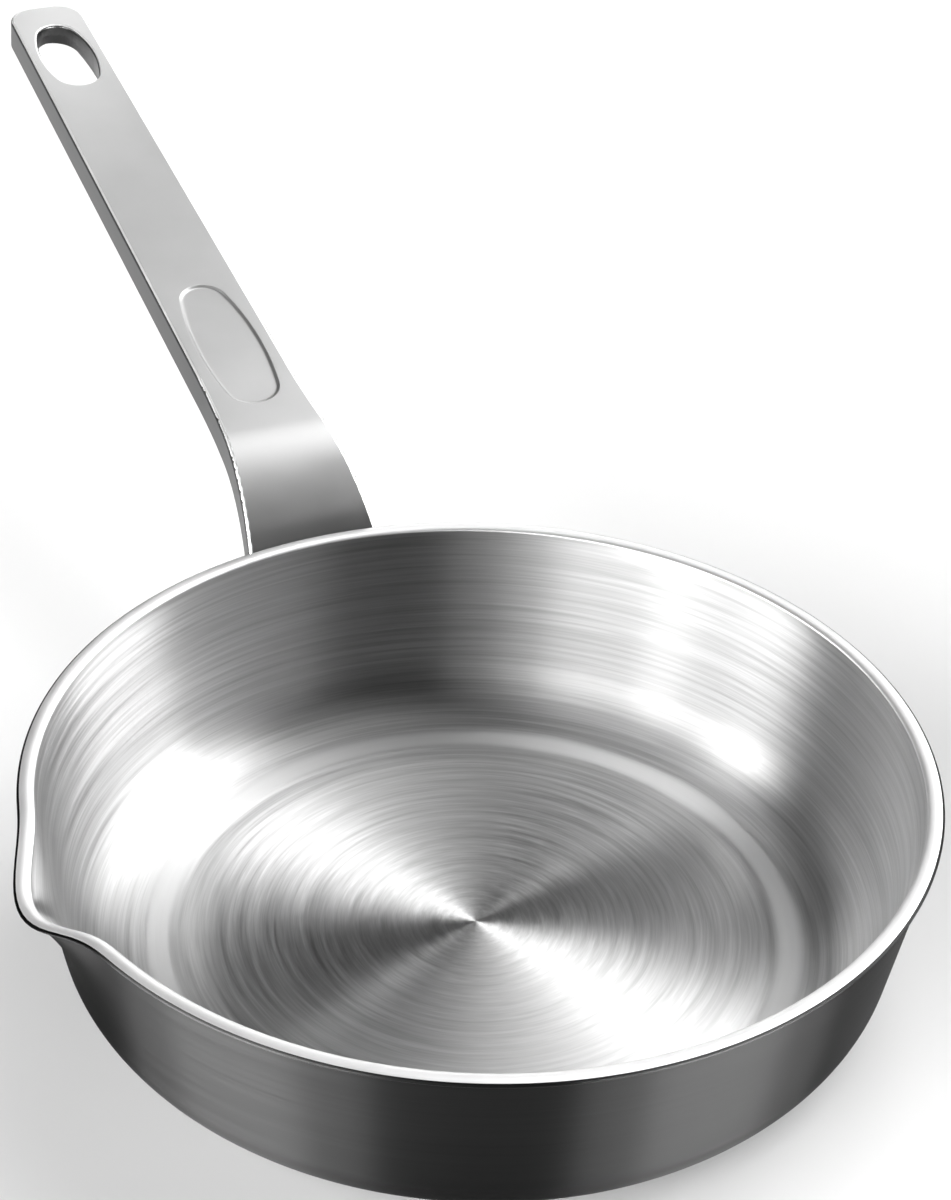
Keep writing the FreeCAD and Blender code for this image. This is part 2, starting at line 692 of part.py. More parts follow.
def check_document(doc, pieces):
    """Stops if any object failed or any piece is not one sound solid."""
    for item in doc.Objects:
        if "Invalid" in item.State or "Error" in item.State:
            raise RuntimeError(f"{item.Name} failed: {item.State}")
    for piece in pieces:
        shape = piece.Shape
        if shape.isNull() or not shape.isValid():
            raise RuntimeError(f"{piece.Label} has no sound shape")
        if len(shape.Solids) != 1:
            raise RuntimeError(f"{piece.Label} has {len(shape.Solids)} solids")


def main():
    doc = FreeCAD.newDocument("omelette_pan")
    sheet = make_sheet(doc)
    size = read_sizes(sheet)
    pieces = make_bowl(doc, size)
    pieces.append(make_handle(doc, size))
    pieces += make_welds(doc)
    doc.recompute()
    check_document(doc, pieces)
    os.makedirs("parts", exist_ok=True)
    for piece in pieces:
        piece.Shape.exportStep(f"parts/{piece.Label}.step")
        print(f"{piece.Label}: {piece.Shape.Volume:.1f} mm3")


main()
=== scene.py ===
"""Looks of an omelette pan in clad steel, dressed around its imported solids.

Frame: metres, the origin in the middle of the base, +Z up and the handle along +Y. The pouring spout is
on the -X side. Sizes of the pan are in millimetres, as on the part's own sheet, and mm() turns them to
metres. The studio around it is in metres and degrees.
"""

import logging
import math
from collections.abc import Iterable, Mapping
from dataclasses import dataclass, field
from enum import Enum
from typing import Any

import bmesh
import bpy
from mathutils import Matrix, Vector

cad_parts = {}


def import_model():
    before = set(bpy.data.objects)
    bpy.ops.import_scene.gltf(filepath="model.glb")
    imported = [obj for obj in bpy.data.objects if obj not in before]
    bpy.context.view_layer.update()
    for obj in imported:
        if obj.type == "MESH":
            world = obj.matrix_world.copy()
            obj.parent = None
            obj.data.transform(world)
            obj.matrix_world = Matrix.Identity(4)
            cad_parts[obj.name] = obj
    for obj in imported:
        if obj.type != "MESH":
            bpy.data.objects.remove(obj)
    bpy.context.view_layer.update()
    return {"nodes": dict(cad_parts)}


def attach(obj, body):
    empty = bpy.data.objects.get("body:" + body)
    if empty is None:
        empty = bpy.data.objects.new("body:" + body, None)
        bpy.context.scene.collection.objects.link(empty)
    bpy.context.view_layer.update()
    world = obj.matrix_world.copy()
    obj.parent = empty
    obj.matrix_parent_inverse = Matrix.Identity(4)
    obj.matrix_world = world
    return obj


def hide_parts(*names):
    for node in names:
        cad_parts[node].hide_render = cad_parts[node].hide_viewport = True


LOG = logging.getLogger("omelette_pan")
BODY = "root"
# Vertices nearer to each other than this, in metres, become one.
MERGE_DISTANCE = 1e-6
# Folds sharper than this stay crisp.
CREASE_ANGLE = math.radians(40.0)
# Direction in which the photograph was taken, in degrees from +X.
CAMERA_AZIMUTH = 64.7
Point = tuple[float, float]
Place = tuple[float, float, float]


class Slot(Enum):
    """Material slots of the part's record."""

    COOKING = "cooking_steel"
    SHELL = "shell_steel"
    HANDLE = "handle_steel"


class Zone(Enum):
    """Zones of the handle that are ground to different roughness, by their material's number on the mesh; the
    flank also gets painted shade and the rounded edge a painted highlight.
    """

    TOP = 0
    FLANK = 1
    EDGE = 2


# Small helpers

def mm(value: float) -> float:
    """Millimetres as metres."""
    return value / 1000.0


def linear(code: str) -> tuple[float, float, float, float]:
    """Turns an sRGB hex colour to linear light.

    Args:
        code: the colour as six hex digits after a hash sign.

    Returns:
        Red, green, blue and a full alpha.
    """
    channels = []
    for start in (1, 3, 5):
        value = int(code[start:start + 2], 16) / 255.0
        channels.append(value / 12.92 if value <= 0.04045 else ((value + 0.055) / 1.055) ** 2.4)
    return (*channels, 1.0)


def add_node(tree: bpy.types.NodeTree, kind: str, inputs: Mapping[Any, Any] | None = None,
             **settings: Any) -> bpy.types.Node:
    """Adds a node with its settings and its links.

    Args:
        tree: the tree that gets the node.
        kind: Blender's name for the node type.
        inputs: for a socket's name or number, the socket that feeds it or its constant value.
        settings: properties of the node.

    Returns:
        The new node.
    """
    node = tree.nodes.new(kind)
    for name, value in settings.items():
        setattr(node, name, value)
    for key, value in (inputs or {}).items():
        if isinstance(value, bpy.types.NodeSocket):
            tree.links.new(value, node.inputs[key])
        else:
            node.inputs[key].default_value = value
    return node


def blank_material(name: str) -> bpy.types.Material:
    """A material whose node tree is still empty."""
    material = bpy.data.materials.new(name)
    material.use_nodes = True
    material.node_tree.nodes.clear()
    return material


def dress(node: bpy.types.Object, material: bpy.types.Material) -> None:
    """Gives one finish to every face of a piece."""
    node.data.materials.clear()
    node.data.materials.append(material)


def new_piece(name: str, mesh: bpy.types.Mesh) -> bpy.types.Object:
    """Puts a mesh in the scene as an object at the origin."""
    piece = bpy.data.objects.new(name, mesh)
    bpy.context.scene.collection.objects.link(piece)
    return piece


# Finishes

def vary(tree: bpy.types.NodeTree, pattern: bpy.types.NodeSocket, tones: tuple[str, str],
         roughness: Point, span: Point) -> tuple[bpy.types.NodeSocket, bpy.types.NodeSocket]:
    """Lets a pattern vary the tone and the roughness of a finish.

    Args:
        tree: the finish's node tree.
        pattern: noise from 0 to 1, nearly all of it near the middle.
        tones: hex colours at the two ends of the span.
        roughness: roughness at the two ends of the middle of the noise.
        span: values of the noise that get the two tones.

    Returns:
        The colour and the roughness.
    """
    middle_low, middle_high = 0.3, 0.7
    ramp = add_node(tree, "ShaderNodeValToRGB", {0: pattern})
    for stop, position, code in zip(ramp.color_ramp.elements, span, tones):
        stop.position = position
        stop.color = linear(code)
    rough = add_node(tree, "ShaderNodeMapRange", {
        "Value": pattern, "From Min": middle_low, "From Max": middle_high,
        "To Min": roughness[0], "To Max": roughness[1]})
    return ramp.outputs["Color"], rough.outputs["Result"]


@dataclass(frozen=True)
class CircularBrushedSteel:
    """Stainless sheet brushed on a lathe: fine rings that turn a lamp into two opposite fans of light."""

    name: str
    pale: str
    dark: str
    roughness: float
    roughness_spread: float
    # Zone that the press leaves matt, whose pale tone is a painted highlight, as radius plus height, and how
    # many times rougher it is. The default lies below the floor, where no part of the pan is.
    matt_highlight_zone: Point = (-20.0, -20.0)
    matt_factor: float = 1.0
    matt_highlight_border: float = 3.5
    painted_highlight_tone: str = "#e0e0e0"
    # The coarsest rings are about 1.5 mm apart, with finer and fainter ones between them down to the
    # grit's 0.2 mm.
    ring_pitch: float = 1.5
    ring_octaves: float = 3.0
    fine_weight: float = 0.75
    # A scratch runs about a seventh of the way round before it fades into the next.
    scratches_round: float = 1.1
    groove_depth: float = 0.002
    tone_span: Point = (0.32, 0.68)
    # How much longer the glare is across the scratches than along them, and its tint at a low angle.
    grain: float = 0.96
    edge_tint: str = "#ffffff"

    def make(self) -> bpy.types.Material:
        """Builds the material.

        Returns:
            The material, which reads object coordinates about the pan's axis.
        """
        material = blank_material(self.name)
        tree = material.node_tree
        place = add_node(tree, "ShaderNodeTexCoord").outputs["Object"]
        axes = add_node(tree, "ShaderNodeSeparateXYZ", {0: place}).outputs
        flat = add_node(tree, "ShaderNodeCombineXYZ", {"X": axes["X"], "Y": axes["Y"]}).outputs[0]
        radius = add_node(tree, "ShaderNodeVectorMath", {0: flat}, operation="LENGTH").outputs["Value"]
        along = add_node(tree, "ShaderNodeMath", {0: radius, 1: axes["Z"]}).outputs[0]
        backward = add_node(tree, "ShaderNodeMath", {0: axes["Y"], 1: -1.0}, operation="MULTIPLY").outputs[0]
        tangent = add_node(tree, "ShaderNodeCombineXYZ", {"X": backward, "Y": axes["X"]}).outputs[0]
        scratch = self.scratches(tree, flat, along)
        # Share of the matt zone, which also carries the painted highlight.
        matt = self.matt_highlight_share(tree, along)
        roughness = (self.roughness - self.roughness_spread, self.roughness + self.roughness_spread)
        tone, rough = vary(tree, scratch, (self.dark, self.pale), roughness, self.tone_span)
        factor = add_node(tree, "ShaderNodeMath", {0: matt, 1: self.matt_factor - 1.0, 2: 1.0},
                          operation="MULTIPLY_ADD").outputs[0]
        spread = add_node(tree, "ShaderNodeMath", {0: rough, 1: factor}, operation="MULTIPLY").outputs[0]
        # The zone's pale tone is a painted highlight.
        colour = add_node(tree, "ShaderNodeMix", {"Factor": matt, 6: tone, 7: linear(self.painted_highlight_tone)},
                          data_type="RGBA").outputs[2]
        groove = add_node(tree, "ShaderNodeBump", {
            "Strength": 1.0, "Distance": mm(self.groove_depth), "Height": scratch}).outputs["Normal"]
        quarter_turn = 0.25
        steel = add_node(tree, "ShaderNodeBsdfPrincipled", {
            "Base Color": colour, "Metallic": 1.0, "Roughness": spread, "Anisotropic": self.grain,
            "Anisotropic Rotation": quarter_turn, "Tangent": tangent,
            "Specular Tint": linear(self.edge_tint), "Normal": groove})
        add_node(tree, "ShaderNodeOutputMaterial", {"Surface": steel.outputs["BSDF"]})
        return material

    def scratches(self, tree: bpy.types.NodeTree, flat: bpy.types.NodeSocket,
                  along: bpy.types.NodeSocket) -> bpy.types.NodeSocket:
        """Adds the pattern of the brush: noise that is stretched round the axis.

        Args:
            tree: the material's node tree.
            flat: place across the axis.
            along: radius plus height, which grows along the section.

        Returns:
            The noise, from 0 to 1.
        """
        outward = add_node(tree, "ShaderNodeVectorMath", {0: flat}, operation="NORMALIZE").outputs[0]
        count = add_node(tree, "ShaderNodeMath", {0: along, 1: 1.0 / mm(self.ring_pitch)},
                         operation="MULTIPLY").outputs[0]
        ring = add_node(tree, "ShaderNodeCombineXYZ", {"Z": count}).outputs[0]
        turned = add_node(tree, "ShaderNodeVectorMath", {0: outward, 1: (self.scratches_round,) * 3, 2: ring},
                          operation="MULTIPLY_ADD").outputs[0]
        return add_node(tree, "ShaderNodeTexNoise", {
            "Vector": turned, "Scale": 1.0, "Detail": self.ring_octaves,
            "Roughness": self.fine_weight}).outputs["Fac"]

    def matt_highlight_share(self, tree: bpy.types.NodeTree, along: bpy.types.NodeSocket) -> bpy.types.NodeSocket:
        """Adds the soft-edged matt zone that carries the painted highlight.

        Args:
            tree: the material's node tree.
            along: radius plus height, which grows along the section.

        Returns:
            One in the zone and zero well outside it.
        """
        start, end = self.matt_highlight_zone
        sides = []
        for outer, inner in ((start - self.matt_highlight_border, start), (end + self.matt_highlight_border, end)):
            sides.append(add_node(tree, "ShaderNodeMapRange", {
                "Value": along, "From Min": mm(outer), "From Max": mm(inner)},
                interpolation_type="SMOOTHSTEP").outputs["Result"])
        return add_node(tree, "ShaderNodeMath", {0: sides[0], 1: sides[1]}, operation="MULTIPLY").outputs[0]


@dataclass(frozen=True)
class SatinSteel:
    """Metal with a fine matt grain that softens what it reflects, cast or rolled."""

    name: str
    pale: str
    dark: str
    roughness: float
    roughness_spread: float = 0.015
    # Cloudy tone of the finishing wheel.
    cloud_size: float = 14.0
    cloud_octaves: float = 4.0
    tone_span: Point = (0.3, 0.7)

    def make(self) -> bpy.types.Material:
        """Builds the material."""
        material = blank_material(self.name)
        tree = material.node_tree
        place = add_node(tree, "ShaderNodeTexCoord").outputs["Object"]
        cloud = add_node(tree, "ShaderNodeTexNoise", {
            "Vector": place, "Scale": 1.0 / mm(self.cloud_size), "Detail": self.cloud_octaves}).outputs["Fac"]
        roughness = (self.roughness - self.roughness_spread, self.roughness + self.roughness_spread)
        tone, rough = vary(tree, cloud, (self.dark, self.pale), roughness, self.tone_span)
        steel = add_node(tree, "ShaderNodeBsdfPrincipled", {
            "Base Color": tone, "Metallic": 1.0, "Roughness": rough})
        add_node(tree, "ShaderNodeOutputMaterial", {"Surface": steel.outputs["BSDF"]})
        return material


# Bowl

@dataclass
class BowlShape:
    """Sizes that the skins of the bowl share, and the sections that are turned into them."""

    rim_radius: float = 100.0
    pan_height: float = 48.0
    wall_lean: float = 10.0
    corner_radius: float = 17.3
    floor_lift: float = 1.0
    floor_slope: float = 8.0
    floor_margin: float = 8.0
    lip_thickness: float = 1.0
    lip_overhang: float = 1.2
    lip_edge_radius: float = 0.25
    spout_azimuth: float = 182.0
    spout_half_angle: float = 17.8
    spout_reach: float = 5.1
    spout_drop: float = 5.9
    spout_depth: float = 26.0
    # Edges round the axis, and along each stretch of the section.
    turns: int = 288
    floor_steps: int = 4
    slope_steps: int = 12
    corner_steps: int = 20
    wall_steps: int = 18
    crown_steps: int = 20
    lip_edge_steps: int = 4

    @property
    def wall_top(self) -> float:
        """Height at which the wall ends under the rim bead."""
        return self.pan_height - self.lip_thickness

    def wall_radius(self, inset: float, height: float) -> float:
        """Radius of the straight wall at a height, an inset inside the outer face."""
        lean = math.radians(self.wall_lean)
        outer = self.rim_radius - self.lip_overhang - (self.wall_top - height) * math.tan(lean)
        return outer - inset / math.cos(lean)

    @property
    def base_radius(self) -> float:
        """Radius of the flat base, where the rounded corner starts."""
        half_turn = math.radians(90.0 - self.wall_lean) / 2
        return self.wall_radius(0.0, 0.0) - self.corner_radius * math.tan(half_turn)

    @staticmethod
    def arc(centre: Point, radii: Point, start: float, end: float, steps: int) -> list[Point]:
        """Points on an upright ellipse.

        Args:
            centre: its middle in the section, radius then height.
            radii: half its width and half its height.
            start: angle of the first point in degrees.
            end: angle of the last point in degrees.
            steps: number of edges.

        Returns:
            The points in order.
        """
        angles = [math.radians(start + (end - start) * step / steps) for step in range(steps + 1)]
        return [(centre[0] + radii[0] * math.cos(a), centre[1] + radii[1] * math.sin(a)) for a in angles]

    def side(self, inset: float) -> list[Point]:
        """Rounded corner and straight wall of a face, an inset inside the outer one."""
        radius = self.corner_radius - inset
        points = self.arc((self.base_radius, self.corner_radius), (radius, radius), -90.0, -self.wall_lean,
                          self.corner_steps)
        start = points[-1][1]
        for step in range(1, self.wall_steps + 1):
            height = start + (self.wall_top - start) * step / self.wall_steps
            points.append((self.wall_radius(inset, height), height))
        return points

    def lifted_floor(self, inset: float) -> list[Point]:
        """Cooking floor from the axis out, with the soft step down to its margin."""
        foot = self.base_radius - self.floor_margin
        top = foot - self.floor_slope
        points = [(top * step / self.floor_steps, inset + self.floor_lift) for step in range(self.floor_steps)]
        for step in range(self.slope_steps + 1):
            share = step / self.slope_steps
            drop = (1.0 + math.cos(math.pi * share)) / 2
            points.append((top + self.floor_slope * share, inset + self.floor_lift * drop))
        return points

    def flat_floor(self, inset: float) -> list[Point]:
        """Flat base from the axis out."""
        return [(self.base_radius * step / self.floor_steps, inset) for step in range(self.floor_steps)]

    def bead(self, inner_inset: float) -> list[Point]:
        """Crowned rim bead, from the top of the inner wall to its underside."""
        edge = self.lip_edge_radius
        inside = self.wall_radius(inner_inset, self.wall_top)
        middle = (inside + self.rim_radius) / 2
        level = self.wall_top + edge
        crown = self.arc((middle, level), (self.rim_radius - middle, self.lip_thickness - edge), 180.0, 0.0,
                         self.crown_steps)
        corner = self.arc((self.rim_radius - edge, level), (edge, edge), 0.0, -90.0, self.lip_edge_steps)
        return crown + corner[1:]


class TurnedSkin:
    """Geometry Nodes rule of the bowl: a section turned about the axis and pushed out at the spout."""

    SIZES = ("Turns", "Spout Azimuth", "Spout Half Angle", "Spout Reach", "Spout Drop", "Spout Root",
             "Spout Depth", "Bead Start", "Edge Start")
    FINISHES = ("Wall Finish", "Bead Finish", "Edge Finish")
    # How steeply the spout's bulge falls off to its two sides.
    SPOUT_POWER = 4.0

    def __init__(self, shape: BowlShape) -> None:
        """Builds the node tree once, for all the skins of a bowl.

        Args:
            shape: the bowl whose rule it is.
        """
        self.shape = shape
        self.tree = bpy.data.node_groups.new("turned_skin", "GeometryNodeTree")
        interface = self.tree.interface
        interface.new_socket("Section", in_out="INPUT", socket_type="NodeSocketGeometry")
        self.sockets = {}
        for name in self.SIZES:
            kind = "NodeSocketInt" if name == "Turns" else "NodeSocketFloat"
            self.sockets[name] = interface.new_socket(name, in_out="INPUT", socket_type=kind).identifier
        for name in self.FINISHES:
            socket = interface.new_socket(name, in_out="INPUT", socket_type="NodeSocketMaterial")
            self.sockets[name] = socket.identifier
        interface.new_socket("Skin", in_out="OUTPUT", socket_type="NodeSocketGeometry")
        self.wire()

    def wire(self) -> None:
        """Links the rule: a grid of turns by section points is turned, pushed out, closed and dressed."""
        tree = self.tree
        given = add_node(tree, "NodeGroupInput").outputs
        count = add_node(tree, "GeometryNodeAttributeDomainSize", {"Geometry": given["Section"]},
                         component="MESH").outputs["Point Count"]
        columns = add_node(tree, "ShaderNodeMath", {0: given["Turns"], 1: 1.0}).outputs[0]
        grid = add_node(tree, "GeometryNodeMeshGrid", {
            "Size X": 1.0, "Size Y": 1.0, "Vertices X": columns, "Vertices Y": count}).outputs["Mesh"]
        where = add_node(tree, "GeometryNodeInputPosition").outputs[0]
        cell = add_node(tree, "ShaderNodeSeparateXYZ", {0: where}).outputs
        last = add_node(tree, "ShaderNodeMath", {0: count, 1: 1.0}, operation="SUBTRACT").outputs[0]
        share = add_node(tree, "ShaderNodeMath", {0: cell["Y"], 1: 0.5}).outputs[0]
        row_at = add_node(tree, "ShaderNodeMath", {0: share, 1: last}, operation="MULTIPLY").outputs[0]
        row = add_node(tree, "ShaderNodeMath", {0: row_at}, operation="ROUND").outputs[0]
        angle = add_node(tree, "ShaderNodeMath", {0: cell["X"], 1: 2 * math.pi},
                         operation="MULTIPLY").outputs[0]
        sampled = add_node(tree, "GeometryNodeSampleIndex", {
            "Geometry": given["Section"], "Value": where, "Index": row},
            data_type="FLOAT_VECTOR", domain="POINT").outputs[0]
        section = add_node(tree, "ShaderNodeSeparateXYZ", {0: sampled}).outputs
        radius, height = self.push_out(given, angle, section)
        cosine = add_node(tree, "ShaderNodeMath", {0: angle}, operation="COSINE").outputs[0]
        sine = add_node(tree, "ShaderNodeMath", {0: angle}, operation="SINE").outputs[0]
        x = add_node(tree, "ShaderNodeMath", {0: radius, 1: cosine}, operation="MULTIPLY").outputs[0]
        y = add_node(tree, "ShaderNodeMath", {0: radius, 1: sine}, operation="MULTIPLY").outputs[0]
        target = add_node(tree, "ShaderNodeCombineXYZ", {"X": x, "Y": y, "Z": height}).outputs[0]
        kept = add_node(tree, "GeometryNodeStoreNamedAttribute", {
            "Geometry": grid, "Name": "section_row", "Value": row},
            data_type="FLOAT", domain="POINT").outputs[0]
        placed = add_node(tree, "GeometryNodeSetPosition", {"Geometry": kept, "Position": target}).outputs[0]
        closed = add_node(tree, "GeometryNodeMergeByDistance", {
            "Geometry": placed, "Distance": MERGE_DISTANCE}).outputs[0]
        smooth = add_node(tree, "GeometryNodeSetShadeSmooth", {"Geometry": closed}).outputs[0]
        real = add_node(tree, "GeometryNodeRealizeInstances", {"Geometry": smooth}).outputs[0]
        add_node(tree, "NodeGroupOutput", {0: self.dress_rows(given, real)})

    def push_out(self, given: bpy.types.NodeOutputs, angle: bpy.types.NodeSocket,
                 section: bpy.types.NodeOutputs) -> tuple[bpy.types.NodeSocket, bpy.types.NodeSocket]:
        """Links the spout: a bulge that grows towards the rim and fades to both sides.

        Args:
            given: the rule's inputs.
            angle: angle round the axis.
            section: place of the section's point, radius as X and height as Z.

        Returns:
            The radius and the height with the spout in them.
        """
        tree = self.tree
        off = add_node(tree, "ShaderNodeMath", {0: angle, 1: given["Spout Azimuth"]},
                       operation="SUBTRACT").outputs[0]
        turn = add_node(tree, "ShaderNodeMath", {0: off, 1: math.pi, 2: -math.pi}, operation="WRAP").outputs[0]
        across = add_node(tree, "ShaderNodeMath", {0: turn, 1: given["Spout Half Angle"]},
                          operation="DIVIDE").outputs[0]
        square = add_node(tree, "ShaderNodeMath", {0: across, 1: across}, operation="MULTIPLY").outputs[0]
        inside = add_node(tree, "ShaderNodeMath", {0: 1.0, 1: square}, operation="SUBTRACT",
                          use_clamp=True).outputs[0]
        bump = add_node(tree, "ShaderNodeMath", {0: inside, 1: self.SPOUT_POWER}, operation="POWER").outputs[0]
        above = add_node(tree, "ShaderNodeMath", {0: section["Z"], 1: given["Spout Root"]},
                         operation="SUBTRACT").outputs[0]
        up = add_node(tree, "ShaderNodeMath", {0: above, 1: given["Spout Depth"]}, operation="DIVIDE",
                      use_clamp=True).outputs[0]
        growth = add_node(tree, "ShaderNodeMath", {0: up, 1: up}, operation="MULTIPLY").outputs[0]
        bulge = add_node(tree, "ShaderNodeMath", {0: bump, 1: growth}, operation="MULTIPLY").outputs[0]
        radius = add_node(tree, "ShaderNodeMath", {0: bulge, 1: given["Spout Reach"], 2: section["X"]},
                          operation="MULTIPLY_ADD").outputs[0]
        drop = add_node(tree, "ShaderNodeMath", {0: bulge, 1: given["Spout Drop"]},
                        operation="MULTIPLY").outputs[0]
        height = add_node(tree, "ShaderNodeMath", {0: section["Z"], 1: drop}, operation="SUBTRACT").outputs[0]
        return radius, height

    def dress_rows(self, given: bpy.types.NodeOutputs, skin: bpy.types.NodeSocket) -> bpy.types.NodeSocket:
        """Links the finishes, each of which takes over at its own row of the section.

        Args:
            given: the rule's inputs.
            skin: the closed skin.

        Returns:
            The skin with its finishes.
        """
        tree = self.tree
        wall, bead, edge = (given[name] for name in self.FINISHES)
        skin = add_node(tree, "GeometryNodeSetMaterial", {"Geometry": skin, "Material": wall}).outputs[0]
        row = add_node(tree, "GeometryNodeInputNamedAttribute", {"Name": "section_row"},
                       data_type="FLOAT").outputs[0]
        for start, finish in ((given["Bead Start"], bead), (given["Edge Start"], edge)):
            beyond = add_node(tree, "ShaderNodeMath", {0: row, 1: start}, operation="GREATER_THAN").outputs[0]
            skin = add_node(tree, "GeometryNodeSetMaterial", {
                "Geometry": skin, "Selection": beyond, "Material": finish}).outputs[0]
        return skin

    def make(self, name: str, section: list[Point], starts: Point,
             finishes: tuple[bpy.types.Material, ...]) -> bpy.types.Object:
        """Turns one section into a closed skin.

        Args:
            name: name of the piece.
            section: radius and height of its points in millimetres, from the axis round and back to it.
            starts: rows of the section after which the rim bead and the bead's outer edge start.
            finishes: finishes of the wall, of the bead, and of the edge and all behind it.

        Returns:
            The piece, a plain mesh.
        """
        shape = self.shape
        mesh = bpy.data.meshes.new(f"{name}_section")
        mesh.from_pydata([(mm(r), 0.0, mm(z)) for r, z in section], [], [])
        piece = new_piece(name, mesh)
        rule = piece.modifiers.new("turned_skin", "NODES")
        rule.node_group = self.tree
        values = (shape.turns, math.radians(shape.spout_azimuth), math.radians(shape.spout_half_angle),
                  mm(shape.spout_reach), mm(shape.spout_drop), mm(shape.wall_top - shape.spout_depth),
                  mm(shape.spout_depth), *starts)
        for size, value in zip(self.SIZES, values):
            rule[self.sockets[size]] = value
        for zone, finish in zip(self.FINISHES, finishes):
            rule[self.sockets[zone]] = finish
        graph = bpy.context.evaluated_depsgraph_get()
        turned = bpy.data.meshes.new_from_object(piece.evaluated_get(graph), depsgraph=graph)
        piece.modifiers.remove(rule)
        piece.data = turned
        bpy.data.meshes.remove(mesh)
        turned.name = name
        self.close(turned)
        return piece

    @staticmethod
    def close(mesh: bpy.types.Mesh) -> None:
        """Turns the faces of a closed skin outwards and keeps its folded edges crisp."""
        work = bmesh.new()
        work.from_mesh(mesh)
        bmesh.ops.recalc_face_normals(work, faces=work.faces)
        work.to_mesh(mesh)
        work.free()
        mesh.set_sharp_from_angle(angle=CREASE_ANGLE)


@dataclass
class Bowl:
    """The three bonded layers: cooking skin with its rim bead, hidden core and outside skin."""

    nodes: Mapping[str, bpy.types.Object]
    shape: BowlShape = field(default_factory=BowlShape)
    shell_thickness: float = 0.5
    core_thickness: float = 1.5
    liner_thickness: float = 0.5
    # Share of the bead, from the inside, that gets the ground rim finish, partly a painted highlight; the
    # rest, round the lip's outer edge, gets the dark outside finish as painted shade.
    bead_share: float = 0.6
    # Bright steel with rings: the bow-tie of light on the floor, the streaks on the wall, and a matt ring
    # round the floor whose pale tone is a painted highlight.
    cooking_finish: CircularBrushedSteel = CircularBrushedSteel(
        "circular_brushed_stainless", "#d0d0d0", "#aeaeae", 0.4, 0.05, matt_highlight_zone=(72.5, 75.0), matt_factor=2.0)
    # The even white line round the rim: ground satin steel whose pale tone is partly a painted highlight.
    bead_finish: SatinSteel = SatinSteel("ground_rim_highlight_stainless", "#e2e2e2", "#dadada", 0.5)
    # Brushed steel with soft upright bands of light, whose tone is painted darker than bare steel as a painted
    # dark reflection: the pan it copies mirrors dark surroundings, and this one a pale floor.
    outside_finish: CircularBrushedSteel = CircularBrushedSteel(
        "brushed_magnetic_stainless_painted_dark", "#303030", "#2c2c2c", 0.37, 0.01, grain=1.0, edge_tint="#b8b8b8")
    # Pale sheet that shows only when the layers are taken apart.
    core_finish: SatinSteel = SatinSteel("rolled_aluminium", "#d8dade", "#c8cace", 0.4)

    def build(self) -> list[bpy.types.Object]:
        """Makes the two visible skins and dresses the core.

        Returns:
            The new pieces.
        """
        rule = TurnedSkin(self.shape)
        outside = self.outside_finish.make()
        dress(self.nodes["aluminium_core"], self.core_finish.make())
        return [self.cooking_skin(rule, outside), self.outside_skin(rule, outside)]

    def cooking_skin(self, rule: TurnedSkin, outside: bpy.types.Material) -> bpy.types.Object:
        """The brushed inside with its rim bead, whose outer edge takes the dark outside finish as painted
        shade.

        Args:
            rule: the bowl's turning rule.
            outside: finish of the pan's outside.

        Returns:
            The piece that stands for the liner.
        """
        bond = self.shell_thickness + self.core_thickness
        face = bond + self.liner_thickness
        inside = self.shape.lifted_floor(face) + self.shape.side(face)
        rim = self.shape.bead(face)
        back = self.shape.lifted_floor(bond) + self.shape.side(bond)
        section = inside + rim + back[::-1]
        # The lip's outer edge gets the dark outside finish, as painted shade.
        starts = (len(inside) - 0.5, len(inside) + self.bead_share * len(rim))
        finishes = (self.cooking_finish.make(), self.bead_finish.make(), outside)
        skin = rule.make("cooking_skin", section, starts, finishes)
        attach(skin, BODY)
        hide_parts("inner_liner")
        return skin

    def outside_skin(self, rule: TurnedSkin, outside: bpy.types.Material) -> bpy.types.Object:
        """The brushed outside, painted dark as a painted dark reflection, which has no bead of its own.

        Args:
            rule: the bowl's turning rule.
            outside: its finish.

        Returns:
            The piece that stands for the shell.
        """
        front = self.shape.flat_floor(0.0) + self.shape.side(0.0)
        back = self.shape.flat_floor(self.shell_thickness) + self.shape.side(self.shell_thickness)
        section = front + back[::-1]
        skin = rule.make("outside_skin", section, (len(section), len(section)), (outside,) * 3)
        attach(skin, BODY)
        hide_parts("outer_shell")
        return skin


# Handle

